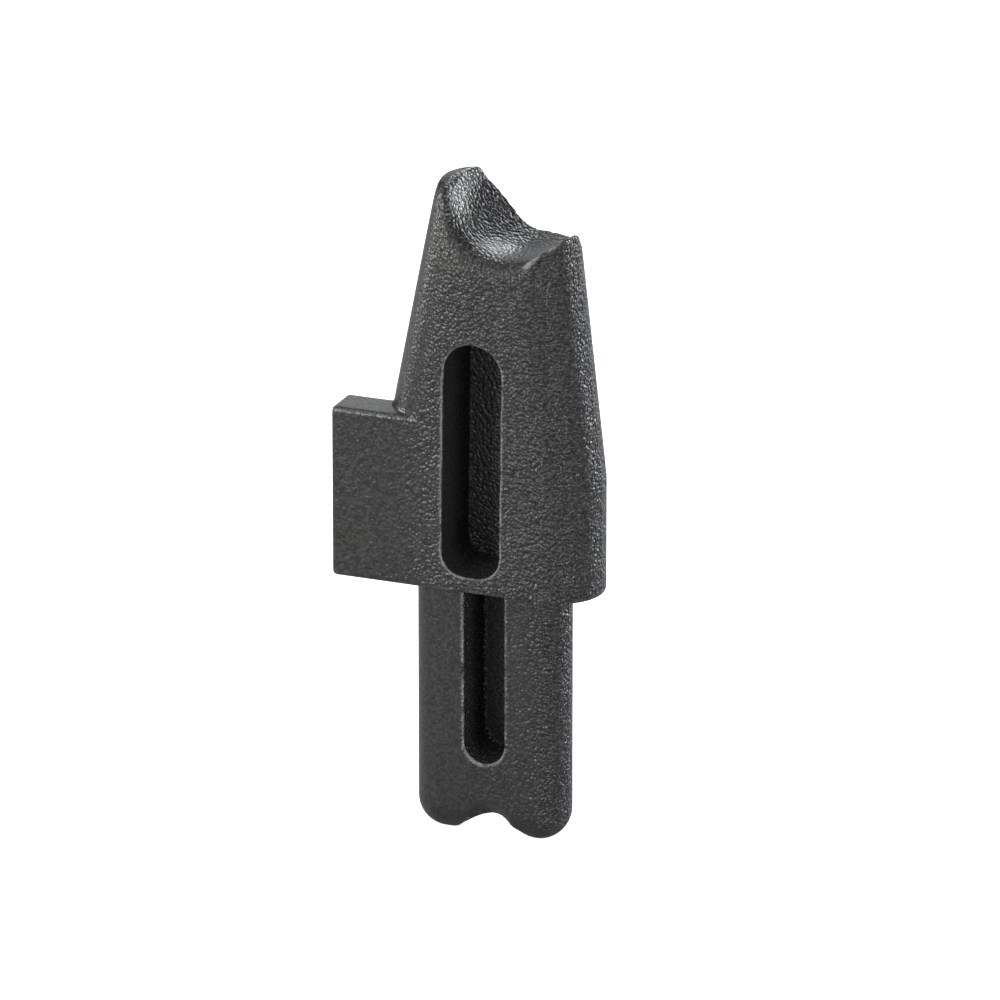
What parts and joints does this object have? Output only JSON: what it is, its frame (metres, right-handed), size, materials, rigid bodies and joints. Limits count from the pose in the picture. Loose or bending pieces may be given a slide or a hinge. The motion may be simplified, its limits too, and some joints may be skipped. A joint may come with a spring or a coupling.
{
  "type": "magazine follower",
  "caption": "Small black moulded plastic magazine follower for 6 mm balls: a full-round slab head with a ball seat and a horn, a finger tab, and a grooved spring stem with a notched foot.",
  "frame": {"origin": "middle of the width and of the thickness, at the lowest level of the foot", "axes": "+Z along the stem towards the horn; +Y towards the plain side, so the cored side faces -Y; +X away from the finger tab"},
  "size_m": [0.0137, 0.0048, 0.0347],
  "materials": {
    "moulded_plastic": "fine moulded grain, satin, unpainted"
  },
  "bodies": {
    "root": {"follower": "moulded_plastic"}
  },
  "joints": []
}
